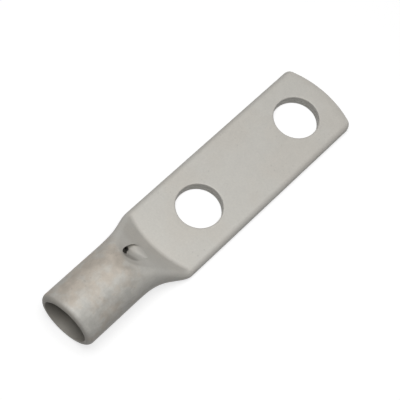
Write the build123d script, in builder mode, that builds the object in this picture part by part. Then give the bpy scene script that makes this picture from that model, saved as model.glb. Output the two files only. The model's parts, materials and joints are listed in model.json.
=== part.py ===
from build123d import *
import math
import os

# A two-hole cable lug, pressed from one length of seamless copper tube.
# All lengths are in millimetres. The flat underside lies on z = 0, x = 0 is
# midway between the two bolt holes, and +X points to the tip of the palm.

# The tube that the lug is made from
tube_diameter = 17.0
wall = 1.75

# The drawing sizes of a lug: length, palm width, holes and their spacings
overall_length = 102.3
palm_width = 24.5
bolt_hole_diameter = 13.0
bolt_hole_spacing = 40.0
tip_margin = 12.3
bend_margin = 17.75

# The shoulder, where the round barrel spreads into the flat palm. It begins a little
# before the slope does, and a delay over 1 keeps it round for longer.
shoulder_lead = 0.5
spread_delay = 1.8
spread_past_bend = 2.5
shoulder_sections = 8
centre_flat = 0.05

# The sloping face that the upper die leaves, and the bend at its foot
slope_angle = 50.0
slope_top_angle = 8.0
slope_top_radius = 12.0
bend_plan_radius = 30.0
bend_radius = 1.2

# Ends and edges
tip_crown_radius = 30.0
tip_corner_radius = 1.8
mouth_outer_round = 1.0
mouth_inner_chamfer = 0.4
hole_rim_chamfer = 0.3
outline_margin = 0.3

# The sight hole in the slope, over the closed end of the barrel. It is drilled straight
# down, only until it has broken through the higher side of the sloping wall.
sight_hole_diameter = 4.8
sight_hole_from_bend = 8.15
sight_hole_floor = 11.0

palm_thickness = 2 * wall
press_depth = tube_diameter - palm_thickness
tip_x = bolt_hole_spacing / 2 + tip_margin
mouth_x = tip_x - overall_length
bend_x = -bolt_hole_spacing / 2 - bend_margin
spread_end_x = bend_x + spread_past_bend

# The slope from the palm up to the barrel's top, seen along the middle
slope = math.radians(slope_angle)
slope_top = math.radians(slope_top_angle)
crown_rise = slope_top_radius * (math.cos(slope_top) - math.cos(slope))
crown_run = slope_top_radius * (math.sin(slope) - math.sin(slope_top))
ramp_rise = press_depth - crown_rise
slope_start_x = bend_x - ramp_rise / math.tan(slope) - crown_run
shoulder_start_x = slope_start_x - shoulder_lead


def flattened_section(station, skin):
    """The tube's outline at a station, skin deep under its outer face, resting on z = 0."""
    share = ((station - shoulder_start_x) / (spread_end_x - shoulder_start_x)) ** spread_delay
    flatness = share * share * (3 - 2 * share)
    half_width = (tube_diameter + (palm_width - tube_diameter) * flatness) / 2 - skin
    half_height = (tube_diameter - press_depth * flatness) / 2 - skin
    middle = half_height + skin
    flat = max(half_width - half_height, centre_flat / 2)
    rise = math.sqrt(half_height**2 - (flat - half_width + half_height) ** 2)
    with BuildSketch(Plane.YZ.offset(station)) as section:
        with BuildLine():
            right = ThreePointArc((flat, middle - rise), (half_width, middle), (flat, middle + rise))
            left = ThreePointArc((-flat, middle + rise), (-half_width, middle), (-flat, middle - rise))
            Line(right @ 1, left @ 0)
            Line(left @ 1, right @ 0)
        make_face()
    return section.sketch


def upper_die(skin):
    """The space that the upper die takes, grown downwards by skin: a flat face with a sloping nose."""
    shift = skin * math.tan(slope / 2)
    foot = (bend_plan_radius + shift, palm_thickness - skin)
    ramp_length = ramp_rise / math.sin(slope) + shift
    die_axis = Axis((bend_x + bend_plan_radius, 0, 0), (0, 0, 1))
    with BuildPart() as die:
        with BuildSketch(Plane.XZ.shift_origin((die_axis.position.X, 0, 0))) as profile:
            with BuildLine():
                Line((0, foot[1]), foot)
                ramp = PolarLine(foot, ramp_length, slope_angle)
                crown = JernArc(ramp @ 1, ramp % 1, slope_top_radius - skin, slope_top_angle - slope_angle)
                brow = PolarLine(crown @ 1, tube_diameter, slope_top_angle)
                Polyline(brow @ 1, (0, (brow @ 1).Y), (0, foot[1]))
            make_face()
            if skin == 0:
                fillet(profile.vertices().sort_by_distance(foot)[0], bend_radius)
        revolve(axis=die_axis)
    return die.part


shoulder_step = (spread_end_x - shoulder_start_x) / (shoulder_sections - 1)
stations = [shoulder_start_x + shoulder_step * i for i in range(shoulder_sections)]

# The hollow inside: the bore, and the pocket that closes where the two walls meet at the bend
with BuildPart() as hollow:
    loft([flattened_section(station, wall) for station in stations[:-1]])
    extrude(flattened_section(shoulder_start_x, wall), amount=mouth_x - shoulder_start_x)
    add(upper_die(wall), mode=Mode.SUBTRACT)

with BuildPart() as lug:
    # The palm, sheared to its crowned tip
    extrude(flattened_section(spread_end_x, 0), amount=tip_x - spread_end_x)
    half_outline = palm_width / 2 + outline_margin
    corner_x = tip_x - tip_crown_radius + math.sqrt(tip_crown_radius**2 - half_outline**2)
    with BuildSketch() as outline:
        with BuildLine():
            ThreePointArc((corner_x, -half_outline), (tip_x, 0), (corner_x, half_outline))
            Polyline(
                (corner_x, half_outline),
                (spread_end_x, half_outline),
                (spread_end_x, -half_outline),
                (corner_x, -half_outline),
            )
        make_face()
        fillet(outline.vertices().group_by(Axis.X)[-1], tip_corner_radius)
    extrude(amount=palm_thickness, mode=Mode.INTERSECT)

    # The bolt holes, with their rims eased
    with Locations((-bolt_hole_spacing / 2, 0, palm_thickness), (bolt_hole_spacing / 2, 0, palm_thickness)):
        Hole(bolt_hole_diameter / 2)
    chamfer(lug.edges(Select.LAST).filter_by(GeomType.CIRCLE), hole_rim_chamfer)

    # The shoulder and the barrel, with the upper die's slope pressed into them
    loft([flattened_section(station, 0) for station in stations])
    extrude(flattened_section(shoulder_start_x, 0), amount=mouth_x - shoulder_start_x)
    add(upper_die(0), mode=Mode.SUBTRACT)
    add(hollow.part, mode=Mode.SUBTRACT)

    # The mouth of the barrel, rounded outside and eased inside
    fillet(lug.faces().sort_by(Axis.X)[0].outer_wire().edges(), mouth_outer_round)
    chamfer(lug.faces().sort_by(Axis.X)[0].inner_wires()[0].edges(), mouth_inner_chamfer)

    # The sight hole
    with BuildSketch(Plane.XY.offset(sight_hole_floor)):
        with Locations((bend_x - sight_hole_from_bend, 0)):
            Circle(sight_hole_diameter / 2)
    extrude(amount=tube_diameter, mode=Mode.SUBTRACT)

os.makedirs("parts", exist_ok=True)
lug.part.label = "lug"
export_step(lug.part, "parts/lug.step")
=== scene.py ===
import json
import math

import bmesh
import bpy
import numpy as np
from mathutils import Matrix, Vector


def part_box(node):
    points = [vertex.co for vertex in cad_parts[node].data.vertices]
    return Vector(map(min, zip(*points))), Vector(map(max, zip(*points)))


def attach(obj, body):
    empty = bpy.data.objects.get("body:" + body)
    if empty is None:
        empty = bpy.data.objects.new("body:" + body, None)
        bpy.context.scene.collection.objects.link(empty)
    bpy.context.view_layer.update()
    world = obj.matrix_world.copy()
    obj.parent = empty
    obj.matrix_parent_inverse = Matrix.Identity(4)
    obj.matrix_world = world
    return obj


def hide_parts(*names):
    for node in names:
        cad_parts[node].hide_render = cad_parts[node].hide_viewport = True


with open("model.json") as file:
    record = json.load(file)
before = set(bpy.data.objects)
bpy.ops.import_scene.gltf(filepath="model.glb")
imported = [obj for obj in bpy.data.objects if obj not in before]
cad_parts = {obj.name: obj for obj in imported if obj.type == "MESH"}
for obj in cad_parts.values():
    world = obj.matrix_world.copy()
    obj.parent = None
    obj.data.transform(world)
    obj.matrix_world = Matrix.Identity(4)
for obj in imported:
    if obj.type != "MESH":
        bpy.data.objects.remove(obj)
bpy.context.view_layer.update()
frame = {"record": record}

# Shapes are worked out in millimetres, as the part is, and become metres in their meshes
MM = 0.001

# Sizes that the frame gives
low_corner, high_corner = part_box("lug")
CAD_MOUTH_X = low_corner[0] / MM
TIP_X = high_corner[0] / MM
HALF_WIDTH = high_corner[1] / MM
TUBE_RADIUS = high_corner[2] / MM / 2
mounts = {mount["name"]: mount for mount in frame["record"]["mounts"]}
HOLE_SPACING = mounts["palm_bolts"]["dims"]["spacing_x_mm"]
HOLE_RADIUS = mounts["palm_bolts"]["dims"]["hole_r_mm"]
PALM_THICKNESS = mounts["palm_top"]["pos_m"][2] / MM
WALL = TUBE_RADIUS - mounts["barrel_bore"]["dims"]["r_mm"]

# The shoulder and the slope pressed into it. The slope starts and ends where the part's does,
# but its crown starts more sharply, and the bend at its foot is a little softer.
BEND_X = -37.75
SPREAD_DELAY = 1.8
SPREAD_END_X = BEND_X + 2.5
SLOPE = math.radians(50.0)
SLOPE_TOP = math.radians(22.0)
SLOPE_TOP_RADIUS = 26.3
BEND_PLAN_RADIUS = 30.0
BEND_RADIUS = 1.6
SHOULDER_LEAD = 0.5

# How round the shoulder's edges are, as a share of the half height there
SHOULDER_ROUND = 0.3

# Ends and edges
TIP_CROWN_RADIUS = 30.0
TIP_CORNER_RADIUS = 1.8
TIP_EDGE_ROUND = 0.25
MOUTH_OUTER_ROUND = 1.5
MOUTH_INNER_ROUND = 0.1
MOUTH_REACH = 0.35
MOUTH_SKEW = -0.05
MOUTH_SKEW_REACH = 6.0
HOLE_RIM_ROUND = 0.35
SEAM_DEPTH = 0.15
SEAM_HALF_WIDTH = 0.05

# The sight hole. These values are not measured: they were searched for, so that a render of
# the hole comes near to the photo. The hole has a nearly round rim with a corner, leans, has a
# floor that curves up on its -X side and opens into the bore along its +Y side.
SIGHT_HOLE_X = -46.28
SIGHT_HOLE_Y = 0.23
SIGHT_HOLE_RADIUS = 2.63
SIGHT_HOLE_RUN_OUT = 2.08
SIGHT_HOLE_RUN_OUT_TURN = math.radians(-6)
SIGHT_HOLE_CORNER = 0.28
SIGHT_HOLE_CORNER_TURN = math.radians(147)
SIGHT_HOLE_FLOOR = 9.8
SIGHT_HOLE_TILT = -0.29
SIGHT_HOLE_BOWL = 0.475
SIGHT_HOLE_BOWL_START = -1.04
SIGHT_HOLE_BOWL_TURN = math.radians(24)
SIGHT_HOLE_LEAN = (0.32, 0.46)
SIGHT_HOLE_BLEND = 1.38
SIGHT_HOLE_BREAK = 1.55
SIGHT_HOLE_BREAK_PLACE = (-47.95, 0.8)
SIGHT_HOLE_BREAK_SPAN = (0.44, 0.645)

# Painted shade on the hole's -X wall, which the shape alone does not give: which way it lies,
# from where to where, and how much darker it is painted
SIGHT_HOLE_SHADE_TURN = math.radians(5)
SIGHT_HOLE_SHADE_REACH = (-0.1, 1.7)
SIGHT_HOLE_SHADE_EDGE = (2.75, 2.1)
SIGHT_HOLE_SHADE = 0.6

# How finely the skin is divided
AROUND = 120
BARREL_STEP = 0.8
SHOULDER_STEP = 0.25
PALM_STEP = 2.0
ROUND_STEPS = 6
BISECTIONS = 40

# Where the palm's own rings begin, where the hollow ends and how far open its closed end stays,
# and how far cutters reach past the faces that they open on
PALM_START_X = SPREAD_END_X + 3.0
HOLLOW_END_X = BEND_X - 1.0
HOLLOW_GAP = 0.02
CUTTER_REACH = 1.0
CUTTER_CLEARANCE = 0.01

MOUTH_X = CAD_MOUTH_X - MOUTH_REACH
DIE_AXIS_X = BEND_X + BEND_PLAN_RADIUS
PRESS_DEPTH = 2 * TUBE_RADIUS - PALM_THICKNESS
CROWN_RISE = SLOPE_TOP_RADIUS * (math.cos(SLOPE_TOP) - math.cos(SLOPE))
CROWN_RUN = SLOPE_TOP_RADIUS * (math.sin(SLOPE) - math.sin(SLOPE_TOP))
RAMP_RUN = (PRESS_DEPTH - CROWN_RISE) / math.tan(SLOPE)
SHOULDER_X = BEND_X - RAMP_RUN - CROWN_RUN - SHOULDER_LEAD

# The camera: where it looks, from which side and how far, and the photo's lens
AIM = Vector((-17.1, 1.81, 0.0)) * MM
CAMERA_AZIMUTH = math.radians(-152.94)
CAMERA_ELEVATION = math.radians(63.4)
CAMERA_ROLL = math.radians(18.04)
CAMERA_DISTANCE = 349.95 * MM
CAMERA_LENS = 116.1
CAMERA_SENSOR = 36.0

# Colours of the tin plate
TIN_COOL = (0.525, 0.51, 0.472, 1)
TIN_WARM = (0.50, 0.45, 0.388, 1)
# The bore's colour is painted shade with a warmer tone, and the sawn rim takes it as painted shade
BORE_TONE_AND_SHADE = (0.355, 0.336, 0.30, 1)

# Where along the barrel and across it the stains and the warmer tin come in, in millimetres,
# and where the painted shade in the bore and on the sawn rim begins and ends
BARREL_FADE = (-44.0, -52.0)
WARM_FADE = (-4.0, 1.5)
BORE_EDGE = (7.2, 6.6)
RIM_FADE = (0.8, 0.2)

# Scales of the noises on the tin, in waves to a metre
CLOUD_SCALE = 95.0
PATCH_SCALE = 330.0
STAIN_SCALE = 240.0
GRAIN_SCALE = 1700.0
SPECK_SCALE = 620.0
SPECK_GROUP_SCALE = 140.0
DRAWING_LINES = (60.0, 1500.0, 1500.0)

# How much each of them changes the tin's warmth or its value
CLOUD_WARMTH = 0.28
BARREL_WARMTH = 0.6
STAIN_WARMTH = 0.45
MOTTLE = (-0.07, 0.065)
MOTTLE_ON_PALM = 0.4
GRAIN_DEPTH = 0.03
LINE_DEPTH = 0.05
SPECK_DEPTH = 0.12
BARREL_DARKER = 0.085

# The tin's surface
TIN_METALLIC = 0.15
TIN_ROUGHNESS = (0.52, 0.64)
BUMP_STRENGTH = 0.25
BUMP_HEIGHT = 0.05

# The stage: how much the floor gives back, how white it is seen, and the light all round
FLOOR_SIZE = 8.0
FLOOR_Z = -0.00005
FLOOR_BOUNCE = 0.07
FLOOR_SHADED = 0.38
FLOOR_GLOW = 0.72
FLOOR_FADE = (0.1, 0.5)
WORLD_STRENGTH = 0.07

# The one softbox, in metres and watts
KEY_PLACE = (-0.085, -0.015, 0.5)
KEY_AIM = (-0.02, 0, 0)
KEY_SIZE = (0.3, 0.3)
KEY_POWER = 2.11


def section_halves(x):
    """Half width and half height of the flattened tube at a station."""
    share = np.clip((x - SHOULDER_X) / (SPREAD_END_X - SHOULDER_X), 0, 1) ** SPREAD_DELAY
    flatness = share * share * (3 - 2 * share)
    half_width = TUBE_RADIUS + (HALF_WIDTH - TUBE_RADIUS) * flatness
    return half_width, TUBE_RADIUS - PRESS_DEPTH / 2 * flatness


def die_face(x, y):
    """Height of the upper die's face over a point, and how steep it is there."""
    run = np.hypot(DIE_AXIS_X - x, y) - BEND_PLAN_RADIUS
    tangent = BEND_RADIUS * math.tan(SLOPE / 2)
    bend_end = tangent * math.cos(SLOPE)
    bend_sine = np.clip((run + tangent) / BEND_RADIUS, 0, math.sin(SLOPE))
    bend_angle = np.arcsin(bend_sine)
    crown_sine = np.clip(math.sin(SLOPE) - (run - RAMP_RUN) / SLOPE_TOP_RADIUS, math.sin(SLOPE_TOP), 1)
    crown_angle = np.arcsin(crown_sine)
    ramp_top = PALM_THICKNESS + RAMP_RUN * math.tan(SLOPE)
    crown_height = ramp_top + SLOPE_TOP_RADIUS * (np.cos(crown_angle) - math.cos(SLOPE))
    brow_height = ramp_top + CROWN_RISE + (run - RAMP_RUN - CROWN_RUN) * math.tan(SLOPE_TOP)
    zones = [run < bend_end, run < RAMP_RUN, run < RAMP_RUN + CROWN_RUN]
    height = np.select(
        zones,
        [
            PALM_THICKNESS + BEND_RADIUS * (1 - np.cos(bend_angle)),
            PALM_THICKNESS + run * math.tan(SLOPE),
            crown_height,
        ],
        brow_height,
    )
    angle = np.select(zones, [bend_angle, SLOPE, crown_angle], SLOPE_TOP)
    return height, angle


def depth_field(x, y, z, outward_y, outward_z):
    """Signed distance to the pressed skin, with the shoulder's edges rounded over."""
    half_width, half_height = section_halves(x)
    flat = half_width - half_height
    tube = np.hypot(np.maximum(np.abs(y) - flat, 0), z - half_height) - half_height
    height, angle = die_face(x, y)
    die = (z - height) * np.cos(angle)
    toward_side = y / np.hypot(DIE_AXIS_X - x, y)
    meeting = outward_z * np.cos(angle) - outward_y * np.sin(angle) * toward_side
    on_slope = np.clip((height - PALM_THICKNESS) / half_height, 0, 1)
    blend = SHOULDER_ROUND * half_height * (1 - meeting) * on_slope + 1e-6
    overlap = np.maximum(blend - np.abs(tube - die), 0)
    return np.maximum(tube, die) + overlap * overlap / (4 * blend)


def outline(x, inset=0.0):
    """Points over the top of a section from its right side to its left, and which way is out."""
    half_width, half_height = section_halves(x)
    flat = (half_width - half_height)[:, None]
    radius = half_height[:, None]
    span = np.linspace(0, 1, AROUND + 1)[None, :] * (math.pi * radius + 2 * flat)
    quarter = math.pi / 2 * radius
    along = np.clip(span - quarter, 0, 2 * flat)
    angle = (span - along) / radius
    outward_y, outward_z = np.cos(angle), np.sin(angle)
    middle = flat - along
    return middle, radius, outward_y, outward_z, radius - inset


def pressed_skin(x):
    """The outer skin over the top of each station, found along the lines to the section's middle."""
    middle, radius, outward_y, outward_z, _ = outline(x)
    station = np.repeat(x[:, None], AROUND + 1, axis=1)
    near, far = np.zeros_like(station), np.ones_like(station) * radius
    for _ in range(BISECTIONS):
        halfway = (near + far) / 2
        reach = radius - halfway
        y, z = middle + reach * outward_y, radius + reach * outward_z
        outside = depth_field(station, y, z, outward_y, outward_z) > 0
        near, far = np.where(outside, halfway, near), np.where(outside, far, halfway)
    reach = radius - near
    return np.stack([station, middle + reach * outward_y, radius + reach * outward_z], axis=-1)


def round_skin(x, inset):
    """The plain section of each station, inset from the outer skin."""
    middle, radius, outward_y, outward_z, reach = outline(x, inset)
    station = np.repeat(x[:, None], AROUND + 1, axis=1)
    return np.stack([station, middle + reach * outward_y, radius + reach * outward_z], axis=-1)


def closed_rings(over_top, under):
    """Whole rings from the points over the top and those underneath."""
    return np.concatenate([over_top, under[:, -2:0:-1]], axis=1)


def mirrored_below(skin, x):
    """The same skin under the section's middle."""
    under = skin.copy()
    under[..., 2] = 2 * section_halves(x)[1][:, None] - skin[..., 2]
    return under


def outer_rings(x):
    plain = round_skin(x, 0.0)
    return closed_rings(pressed_skin(x), mirrored_below(plain, x))


def inner_rings(x):
    """The hollow's skin, one wall inside: plain below, and pressed down by the slope above."""
    plain = round_skin(x, WALL)
    over_top = plain.copy()
    height, angle = die_face(over_top[..., 0], over_top[..., 1])
    over_top[..., 2] = np.minimum(over_top[..., 2], height - WALL / np.cos(angle))
    over_top[..., 2] = np.maximum(over_top[..., 2], WALL + HOLLOW_GAP)
    return closed_rings(over_top, mirrored_below(plain, x))


def tip_outline(y):
    """Where the palm's sheared end lies for each y."""
    crown_x = TIP_X - TIP_CROWN_RADIUS
    corner_y = HALF_WIDTH - TIP_CORNER_RADIUS
    corner_x = crown_x + math.sqrt((TIP_CROWN_RADIUS - TIP_CORNER_RADIUS) ** 2 - corner_y**2)
    crown_end_y = corner_y * TIP_CROWN_RADIUS / (TIP_CROWN_RADIUS - TIP_CORNER_RADIUS)
    crown = crown_x + np.sqrt(TIP_CROWN_RADIUS**2 - y * y)
    past = np.clip(np.abs(y) - corner_y, 0, TIP_CORNER_RADIUS)
    corner = corner_x + np.sqrt(TIP_CORNER_RADIUS**2 - past * past)
    return np.where(np.abs(y) < crown_end_y, crown, corner)


def mouth_rings():
    """The rim of the barrel, from the bore out to the outer skin."""
    plain = outer_rings(np.array([MOUTH_X]))[0]
    centre = np.array([0, 0, TUBE_RADIUS])
    outward = (plain - centre) / TUBE_RADIUS
    outward[:, 0] = 0
    rings = []
    for turn in np.linspace(0, math.pi / 2, ROUND_STEPS + 1)[1:]:
        radius = TUBE_RADIUS - WALL + MOUTH_INNER_ROUND * (1 - math.cos(turn))
        x = MOUTH_X + MOUTH_INNER_ROUND * (1 - math.sin(turn))
        rings.append(centre + outward * radius + np.array([x, 0, 0]))
    for turn in np.linspace(math.pi / 2, 0, ROUND_STEPS * 2 + 1)[:-1]:
        radius = TUBE_RADIUS - MOUTH_OUTER_ROUND * (1 - math.cos(turn))
        x = MOUTH_X + MOUTH_OUTER_ROUND * (1 - math.sin(turn))
        rings.append(centre + outward * radius + np.array([x, 0, 0]))
    return np.array(rings)


def skew_mouth(rings):
    """Leans the sawn end a few degrees: the slant dies out a little way along the barrel."""
    share = np.clip(1 - (rings[..., 0] - MOUTH_X) / MOUTH_SKEW_REACH, 0, 1)
    rings[..., 0] += MOUTH_SKEW * rings[..., 1] * share
    return rings


def tip_rings():
    """The palm from the shoulder's end to its sheared tip, with the last edge rounded over."""
    steps = int((TIP_X - PALM_START_X) / PALM_STEP)
    x = np.linspace(PALM_START_X, TIP_X, steps + 1)
    rings = closed_rings(round_skin(x, 0.0), mirrored_below(round_skin(x, 0.0), x))
    end = tip_outline(rings[-1, :, 1]) - TIP_EDGE_ROUND
    share = (x - PALM_START_X) / (TIP_X - PALM_START_X)
    rings[..., 0] = PALM_START_X + share[:, None] * (end - PALM_START_X)[None, :]
    rows = [rings]
    last_x = np.array([TIP_X])
    for turn in np.linspace(0, math.pi / 2, ROUND_STEPS // 2 + 1)[1:]:
        inset = TIP_EDGE_ROUND * (1 - math.cos(turn))
        plain = round_skin(last_x, inset)
        row = closed_rings(plain, mirrored_below(plain, last_x))
        row[..., 0] = end + TIP_EDGE_ROUND * math.sin(turn)
        rows.append(row)
    return np.concatenate(rows)


def lug_rings():
    """All rings of the skin in order: out of the hollow, round the mouth and along to the tip."""
    shoulder_steps = int((PALM_START_X - SHOULDER_X) / SHOULDER_STEP)
    shoulder = np.linspace(SHOULDER_X, PALM_START_X, shoulder_steps + 1)
    barrel_start = MOUTH_X + MOUTH_OUTER_ROUND
    barrel_steps = int((SHOULDER_X - barrel_start) / BARREL_STEP)
    barrel = np.linspace(barrel_start, SHOULDER_X, barrel_steps + 1)[:-1]
    hollow = shoulder[shoulder < HOLLOW_END_X]
    inner = np.concatenate([[MOUTH_X + MOUTH_INNER_ROUND], barrel[1:], hollow])
    outer = np.concatenate([barrel, shoulder[:-1]])
    rings = np.concatenate([inner_rings(inner)[::-1], mouth_rings(), outer_rings(outer), tip_rings()])
    return skew_mouth(rings)


def end_cap(rows, ring_start, vertices, faces, notched):
    """Closes a ring by strips from its top points to the points under them."""
    count = 2 * AROUND
    levels = (0.5 + SEAM_HALF_WIDTH, 0.5, 0.5 - SEAM_HALF_WIDTH) if notched else ()
    seam_end_y = HALF_WIDTH - WALL
    columns = []
    for j in range(AROUND + 1):
        top, below = ring_start + j, ring_start + (count - j) % count
        column = [top]
        for level in levels if 0 < j < AROUND else ():
            point = rows[top] * level + rows[below] * (1 - level)
            if level == 0.5 and abs(point[1]) < seam_end_y:
                point = point - np.array([SEAM_DEPTH, 0, 0])
            vertices.append(point)
            column.append(len(vertices) - 1)
        if below != top:
            column.append(below)
        columns.append(column)
    for left, right in zip(columns[:-1], columns[1:]):
        if len(left) == 1 or len(right) == 1:
            many, one = (right, left[0]) if len(left) == 1 else (left, right[0])
            faces.extend((many[k], many[k + 1], one) for k in range(len(many) - 1))
        else:
            faces.extend((left[k], left[k + 1], right[k + 1], right[k]) for k in range(len(left) - 1))


def mesh_object(name, vertices, faces):
    """A new object from millimetre points, with its faces turned outwards."""
    mesh = bpy.data.meshes.new(name)
    mesh.from_pydata([tuple(v) for v in np.asarray(vertices) * MM], [], faces)
    shape = bmesh.new()
    shape.from_mesh(mesh)
    bmesh.ops.recalc_face_normals(shape, faces=shape.faces)
    shape.to_mesh(mesh)
    shape.free()
    item = bpy.data.objects.new(name, mesh)
    bpy.context.scene.collection.objects.link(item)
    return item


def make_skin():
    rings = lug_rings()
    count = 2 * AROUND
    vertices = list(rings.reshape(-1, 3))
    faces = []
    for row in range(len(rings) - 1):
        start = row * count
        for k in range(count):
            after = (k + 1) % count
            faces.append((start + k, start + after, start + count + after, start + count + k))
    rows = list(vertices)
    end_cap(rows, 0, vertices, faces, notched=False)
    end_cap(rows, (len(rings) - 1) * count, vertices, faces, notched=True)
    return mesh_object("lug_skin", vertices, faces)


def turned_cutter(name, x, profile, steps=96):
    """A closed cutter turned about an upright axis, from a profile of radii and heights."""
    vertices = []
    for k in range(steps):
        angle = 2 * math.pi * k / steps
        vertices += [(x + r * math.cos(angle), r * math.sin(angle), z) for r, z in profile]
    rows = len(profile)
    faces = []
    for k in range(steps):
        here, there = k * rows, (k + 1) % steps * rows
        faces += [(here + i, there + i, there + i + 1, here + i + 1) for i in range(rows - 1)]
    faces.append([k * rows for k in range(steps)])
    faces.append([k * rows + rows - 1 for k in range(steps)])
    return mesh_object(name, vertices, faces)


def sight_hole_level(x, y):
    """Height of the sight hole's floor under a point of the slope."""
    ahead_x, ahead_y = x - SIGHT_HOLE_X, y - SIGHT_HOLE_Y
    toward = -ahead_x * math.cos(SIGHT_HOLE_BOWL_TURN) - ahead_y * math.sin(SIGHT_HOLE_BOWL_TURN)
    bowl = SIGHT_HOLE_BOWL * max(toward - SIGHT_HOLE_BOWL_START, 0) ** 2
    broken_x = (x - SIGHT_HOLE_BREAK_PLACE[0]) / SIGHT_HOLE_BREAK_SPAN[0]
    broken_y = (y - SIGHT_HOLE_BREAK_PLACE[1]) / SIGHT_HOLE_BREAK_SPAN[1]
    broken = SIGHT_HOLE_BREAK * math.exp(-(broken_x**2) - broken_y**2)
    return SIGHT_HOLE_FLOOR + SIGHT_HOLE_TILT * ahead_y + bowl - broken


def sight_hole_cutter(steps=96, rings=18):
    """The drill's space, whose floor runs out softly into the slope on its +X side."""
    top = 2 * TUBE_RADIUS + CUTTER_REACH
    vertices = []
    rim = []
    for ring in range(rings + 1):
        for k in range(steps if ring else 1):
            turn = 2 * math.pi * k / steps
            run_out = SIGHT_HOLE_RUN_OUT * max(math.cos(turn - SIGHT_HOLE_RUN_OUT_TURN), 0) ** 2
            corner = SIGHT_HOLE_CORNER * max(math.cos(turn - SIGHT_HOLE_CORNER_TURN), 0) ** 8
            radius = (SIGHT_HOLE_RADIUS + run_out + corner) * ring / rings
            x = SIGHT_HOLE_X + radius * math.cos(turn)
            y = SIGHT_HOLE_Y + radius * math.sin(turn)
            level = sight_hole_level(x, y)
            face = min(float(die_face(x, y)[0]), 2 * TUBE_RADIUS) + CUTTER_CLEARANCE
            overlap = max(SIGHT_HOLE_BLEND - abs(face - level), 0)
            z = min(face, level) - overlap * overlap / (4 * SIGHT_HOLE_BLEND)
            lean_x, lean_y = SIGHT_HOLE_LEAN
            vertices.append((x + lean_x * (face - z), y + lean_y * (face - z), z))
            if ring == rings:
                rim.append((x + lean_x * (face - top), y + lean_y * (face - top), top))
    vertices += rim
    faces = [(0, 1 + k, 1 + (k + 1) % steps) for k in range(steps)]
    for ring in range(rings):
        start = 1 + ring * steps
        for k in range(steps):
            after = (k + 1) % steps
            faces.append((start + k, start + steps + k, start + steps + after, start + after))
    faces.append([1 + rings * steps + k for k in range(steps)])
    return mesh_object("sight_hole_cutter", vertices, faces)


def rim_profile(radius, surface, upward):
    """The rounded rim of a hole, from its wall out to the face it opens on."""
    points = []
    for k in range(ROUND_STEPS + 1):
        turn = math.pi / 2 * k / ROUND_STEPS
        out = radius + HOLE_RIM_ROUND * (1 - math.cos(turn))
        points.append((out, surface - upward * HOLE_RIM_ROUND * (1 - math.sin(turn))))
    points.append((radius + HOLE_RIM_ROUND, surface + upward * CUTTER_REACH))
    return points


def bolt_hole_profile():
    seam = PALM_THICKNESS / 2
    under = rim_profile(HOLE_RADIUS, 0.0, -1)[::-1]
    top = rim_profile(HOLE_RADIUS, PALM_THICKNESS, 1)
    notch = [
        (HOLE_RADIUS, seam - SEAM_HALF_WIDTH * 1.5),
        (HOLE_RADIUS + SEAM_DEPTH, seam),
        (HOLE_RADIUS, seam + SEAM_HALF_WIDTH * 1.5),
    ]
    return under + notch + top


def cut(item, cutter):
    """Takes the cutter's space out of an item, and deletes the cutter."""
    modifier = item.modifiers.new("cut", "BOOLEAN")
    modifier.operation = "DIFFERENCE"
    modifier.solver = "EXACT"
    modifier.object = cutter
    apply_modifiers(item)
    bpy.data.objects.remove(cutter)


def apply_modifiers(item):
    bpy.context.view_layer.update()
    result = bpy.data.meshes.new_from_object(item.evaluated_get(bpy.context.evaluated_depsgraph_get()))
    item.modifiers.clear()
    item.data = result


def make_lug():
    """The pressed tube with its holes, in place of the plain solid."""
    lug = make_skin()
    for side in (-1, 1):
        cut(lug, turned_cutter("bolt_hole_cutter", side * HOLE_SPACING / 2, bolt_hole_profile()))
    cut(lug, sight_hole_cutter())
    lug.data.shade_smooth()
    lug.data.set_sharp_from_angle(angle=math.radians(40))
    weighted = lug.modifiers.new("weighted", "WEIGHTED_NORMAL")
    weighted.keep_sharp = True
    apply_modifiers(lug)
    return lug


class NodeMaker:
    """Short ways to make and join a material's nodes."""

    def __init__(self, material):
        self.nodes = material.node_tree.nodes
        self.links = material.node_tree.links

    def put(self, socket, value):
        if isinstance(value, bpy.types.NodeSocket):
            self.links.new(value, socket)
        else:
            socket.default_value = value

    def noise(self, vector, scale, detail=3.0, roughness=0.5):
        node = self.nodes.new("ShaderNodeTexNoise")
        self.put(node.inputs["Vector"], vector)
        node.inputs["Scale"].default_value = scale
        node.inputs["Detail"].default_value = detail
        node.inputs["Roughness"].default_value = roughness
        return node.outputs["Fac"]

    def specks(self, vector, scale):
        node = self.nodes.new("ShaderNodeTexVoronoi")
        self.put(node.inputs["Vector"], vector)
        node.inputs["Scale"].default_value = scale
        return node.outputs["Distance"]

    def stretched(self, vector, scale):
        node = self.nodes.new("ShaderNodeMapping")
        self.put(node.inputs["Vector"], vector)
        node.inputs["Scale"].default_value = scale
        return node.outputs["Vector"]

    def math(self, operation, first, second):
        node = self.nodes.new("ShaderNodeMath")
        node.operation = operation
        self.put(node.inputs[0], first)
        self.put(node.inputs[1], second)
        return node.outputs[0]

    def map_range(self, value, low, high, new_low=0.0, new_high=1.0):
        node = self.nodes.new("ShaderNodeMapRange")
        node.interpolation_type = "SMOOTHSTEP"
        self.put(node.inputs["Value"], value)
        node.inputs["From Min"].default_value = low
        node.inputs["From Max"].default_value = high
        node.inputs["To Min"].default_value = new_low
        node.inputs["To Max"].default_value = new_high
        return node.outputs["Result"]

    def mix(self, factor, first, second, blend="MIX"):
        node = self.nodes.new("ShaderNodeMix")
        node.data_type = "RGBA"
        node.blend_type = blend
        self.put(node.inputs[0], factor)
        self.put(node.inputs[6], first)
        self.put(node.inputs[7], second)
        return node.outputs[2]

    def grey(self, value):
        node = self.nodes.new("ShaderNodeCombineColor")
        for channel in range(3):
            self.put(node.inputs[channel], value)
        return node.outputs[0]


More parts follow.
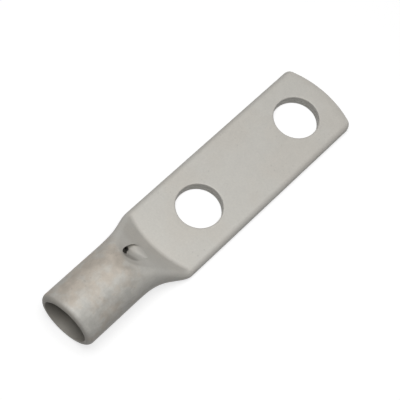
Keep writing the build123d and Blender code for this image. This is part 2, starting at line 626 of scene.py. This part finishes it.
def painted_shade_on_near_wall(make, x, y, z):
    """How much painted shade darkens the sight hole's -X wall, fading over its floor and at its rim.
    """
    ahead_x = make.math("SUBTRACT", x, SIGHT_HOLE_X * MM)
    ahead_y = make.math("SUBTRACT", y, SIGHT_HOLE_Y * MM)
    toward_x = make.math("MULTIPLY", ahead_x, -math.cos(SIGHT_HOLE_SHADE_TURN))
    toward_y = make.math("MULTIPLY", ahead_y, -math.sin(SIGHT_HOLE_SHADE_TURN))
    toward = make.math("ADD", toward_x, toward_y)
    square_x = make.math("MULTIPLY", ahead_x, ahead_x)
    square_y = make.math("MULTIPLY", ahead_y, ahead_y)
    radius = make.math("SQRT", make.math("ADD", square_x, square_y), 0.0)
    start, end = SIGHT_HOLE_SHADE_REACH
    outer, inner = SIGHT_HOLE_SHADE_EDGE
    painted_shade = make.map_range(toward, start * MM, end * MM, 0.0, SIGHT_HOLE_SHADE)
    painted_shade = make.math("MULTIPLY", painted_shade, make.map_range(radius, outer * MM, inner * MM))
    return make.math("MULTIPLY", painted_shade, make.map_range(z, TUBE_RADIUS * MM, (TUBE_RADIUS + 1) * MM))


def tin_material():
    """Matte tin plate: soft grey with warm and cool stains, a fine grain and faint drawing lines, with
    painted shade in the bore, on the sawn rim and on the sight hole's -X wall.
    """
    material = bpy.data.materials.new("matte_tin")
    material.use_nodes = True
    make = NodeMaker(material)
    shader = make.nodes["Principled BSDF"]
    place = make.nodes.new("ShaderNodeTexCoord").outputs["Object"]
    split = make.nodes.new("ShaderNodeSeparateXYZ")
    make.put(split.inputs[0], place)
    x, y, z = split.outputs

    # Where the barrel is, and how far round it towards +Y
    on_barrel = make.map_range(x, BARREL_FADE[0] * MM, BARREL_FADE[1] * MM)
    warm_side = make.map_range(y, WARM_FADE[0] * MM, WARM_FADE[1] * MM)
    broad = make.noise(place, CLOUD_SCALE, 2.0)
    patches = make.noise(place, PATCH_SCALE, 4.0, 0.6)
    stains = make.noise(place, STAIN_SCALE, 4.0, 0.62)
    stains = make.map_range(stains, 0.33, 0.67, -STAIN_WARMTH, STAIN_WARMTH)
    warm_bias = make.math("MULTIPLY", on_barrel, make.math("MULTIPLY", warm_side, BARREL_WARMTH))
    warmth = make.math("ADD", make.map_range(broad, 0.35, 0.65, 0.0, CLOUD_WARMTH), warm_bias)
    warmth = make.math("ADD", warmth, make.math("MULTIPLY", on_barrel, stains))
    colour = make.mix(make.map_range(warmth, 0.0, 1.0), TIN_COOL, TIN_WARM)

    # Mottled and grainy changes of value, darker drawing lines along the barrel, and fine specks
    along = make.noise(make.stretched(place, DRAWING_LINES), 1.0, 4.0)
    lines = make.math("MULTIPLY", on_barrel, make.map_range(along, 0.55, 0.75, 0.0, LINE_DEPTH))
    grain = make.noise(place, GRAIN_SCALE, 3.0, 0.65)
    mottled = make.map_range(patches, 0.33, 0.67, MOTTLE[0], MOTTLE[1])
    mottled = make.math("MULTIPLY", mottled, make.math("ADD", on_barrel, MOTTLE_ON_PALM))
    value = make.math("ADD", mottled, 1.0)
    grain_value = make.map_range(grain, 0.3, 0.7, 1 - GRAIN_DEPTH, 1 + GRAIN_DEPTH)
    value = make.math("MULTIPLY", value, grain_value)
    value = make.math("SUBTRACT", value, lines)
    value = make.math("SUBTRACT", value, make.math("MULTIPLY", on_barrel, BARREL_DARKER))
    rare = make.map_range(make.noise(place, SPECK_GROUP_SCALE, 1.0), 0.5, 0.62, 0.0, SPECK_DEPTH)
    dots = make.map_range(make.specks(place, SPECK_SCALE), 0.22, 0.05)
    value = make.math("SUBTRACT", value, make.math("MULTIPLY", dots, rare))
    # Painted shade on the sight hole's -X wall
    value = make.math("MULTIPLY", value, make.math("SUBTRACT", 1.0, painted_shade_on_near_wall(make, x, y, z)))
    colour = make.mix(1.0, colour, make.grey(value), "MULTIPLY")

    # The bore's wall and the sawn rim take a darker colour: painted shade, and in the bore also a
    # warmer tone
    above = make.math("SUBTRACT", z, TUBE_RADIUS * MM)
    from_axis = make.math("ADD", make.math("MULTIPLY", above, above), make.math("MULTIPLY", y, y))
    inside = make.map_range(from_axis, (BORE_EDGE[0] * MM) ** 2, (BORE_EDGE[1] * MM) ** 2)
    in_bore = make.math("MULTIPLY", inside, on_barrel)
    on_rim = make.map_range(x, (MOUTH_X + RIM_FADE[0]) * MM, (MOUTH_X + RIM_FADE[1]) * MM)
    colour = make.mix(make.math("MAXIMUM", in_bore, on_rim), colour, BORE_TONE_AND_SHADE)
    make.put(shader.inputs["Base Color"], colour)

    shader.inputs["Metallic"].default_value = TIN_METALLIC
    roughness = make.map_range(patches, 0.3, 0.7, TIN_ROUGHNESS[0], TIN_ROUGHNESS[1])
    make.put(shader.inputs["Roughness"], roughness)
    bump = make.nodes.new("ShaderNodeBump")
    bump.inputs["Strength"].default_value = BUMP_STRENGTH
    bump.inputs["Distance"].default_value = BUMP_HEIGHT * MM
    relief = make.math("ADD", grain, make.math("MULTIPLY", patches, 2.0))
    make.put(bump.inputs["Height"], relief)
    make.put(shader.inputs["Normal"], bump.outputs["Normal"])
    return material


def make_camera():
    """The camera at the photo's viewing angle."""
    data = bpy.data.cameras.new("camera")
    data.sensor_width = CAMERA_SENSOR
    data.lens = CAMERA_LENS
    data.clip_start = 0.01
    camera = bpy.data.objects.new("camera", data)
    bpy.context.scene.collection.objects.link(camera)
    outward = Vector((
        math.cos(CAMERA_ELEVATION) * math.cos(CAMERA_AZIMUTH),
        math.cos(CAMERA_ELEVATION) * math.sin(CAMERA_AZIMUTH),
        math.sin(CAMERA_ELEVATION),
    ))
    aimed = outward.to_track_quat("Z", "Y").to_matrix().to_4x4()
    place = Matrix.Translation(AIM + outward * CAMERA_DISTANCE)
    camera.matrix_world = place @ aimed @ Matrix.Rotation(CAMERA_ROLL, 4, "Z")
    bpy.context.scene.camera = camera


def white_when_seen(tree, dim, seen):
    """Mixes two shaders: seen for what is looked at or mirrored, dim for the light it gives back."""
    nodes, links = tree.nodes, tree.links
    path = nodes.new("ShaderNodeLightPath")
    either = nodes.new("ShaderNodeMath")
    either.operation = "MAXIMUM"
    links.new(path.outputs["Is Camera Ray"], either.inputs[0])
    links.new(path.outputs["Is Glossy Ray"], either.inputs[1])
    any_of = nodes.new("ShaderNodeMath")
    any_of.operation = "MAXIMUM"
    links.new(either.outputs[0], any_of.inputs[0])
    links.new(path.outputs["Is Transmission Ray"], any_of.inputs[1])
    mix = nodes.new("ShaderNodeMixShader")
    links.new(any_of.outputs[0], mix.inputs["Fac"])
    links.new(dim.outputs[0], mix.inputs[1])
    links.new(seen.outputs[0], mix.inputs[2])
    return mix


def make_floor():
    """A plain white floor that keeps the lug's soft shadow."""
    mesh = bpy.data.meshes.new("floor")
    sides = ((-1, -1), (1, -1), (1, 1), (-1, 1))
    corners = [(FLOOR_SIZE * side_x, FLOOR_SIZE * side_y, FLOOR_Z) for side_x, side_y in sides]
    mesh.from_pydata(corners, [], [(0, 1, 2, 3)])
    floor = bpy.data.objects.new("floor", mesh)
    bpy.context.scene.collection.objects.link(floor)
    material = bpy.data.materials.new("floor_white")
    material.use_nodes = True
    tree = material.node_tree
    tree.nodes.remove(tree.nodes["Principled BSDF"])
    dim = tree.nodes.new("ShaderNodeBsdfDiffuse")
    dim.inputs["Color"].default_value = (FLOOR_BOUNCE, FLOOR_BOUNCE, FLOOR_BOUNCE, 1)
    shaded = tree.nodes.new("ShaderNodeBsdfDiffuse")
    shaded.inputs["Color"].default_value = (FLOOR_SHADED, FLOOR_SHADED, FLOOR_SHADED, 1)
    glow = tree.nodes.new("ShaderNodeEmission")
    place = tree.nodes.new("ShaderNodeTexCoord")
    distance = tree.nodes.new("ShaderNodeVectorMath")
    distance.operation = "LENGTH"
    tree.links.new(place.outputs["Object"], distance.inputs[0])
    fade = tree.nodes.new("ShaderNodeMapRange")
    fade.interpolation_type = "SMOOTHSTEP"
    fade.inputs["From Min"].default_value = FLOOR_FADE[0]
    fade.inputs["From Max"].default_value = FLOOR_FADE[1]
    fade.inputs["To Min"].default_value = FLOOR_GLOW
    fade.inputs["To Max"].default_value = 1.0
    tree.links.new(distance.outputs["Value"], fade.inputs["Value"])
    tree.links.new(fade.outputs["Result"], glow.inputs["Strength"])
    lit = tree.nodes.new("ShaderNodeAddShader")
    tree.links.new(shaded.outputs[0], lit.inputs[0])
    tree.links.new(glow.outputs[0], lit.inputs[1])
    mix = white_when_seen(tree, dim, lit)
    tree.links.new(mix.outputs[0], tree.nodes["Material Output"].inputs["Surface"])
    mesh.materials.append(material)


def make_world():
    world = bpy.data.worlds.new("studio")
    world.use_nodes = True
    tree = world.node_tree
    dim = tree.nodes["Background"]
    dim.inputs["Color"].default_value = (1, 1, 1, 1)
    dim.inputs["Strength"].default_value = WORLD_STRENGTH
    seen = tree.nodes.new("ShaderNodeBackground")
    seen.inputs["Color"].default_value = (1, 1, 1, 1)
    mix = white_when_seen(tree, dim, seen)
    tree.links.new(mix.outputs[0], tree.nodes["World Output"].inputs["Surface"])
    bpy.context.scene.world = world


def add_softbox(name, place, aim, size, power):
    data = bpy.data.lights.new(name, "AREA")
    data.shape = "RECTANGLE"
    data.size, data.size_y = size
    data.energy = power
    lamp = bpy.data.objects.new(name, data)
    lamp.location = place
    lamp.rotation_euler = (Vector(aim) - Vector(place)).to_track_quat("-Z", "Y").to_euler()
    bpy.context.scene.collection.objects.link(lamp)


make_camera()
make_floor()
add_softbox("key", KEY_PLACE, KEY_AIM, KEY_SIZE, KEY_POWER)
make_world()
bpy.context.scene.view_settings.view_transform = "Standard"

lug = make_lug()
lug.data.materials.clear()
lug.data.materials.append(tin_material())
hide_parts("lug")
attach(lug, "root")
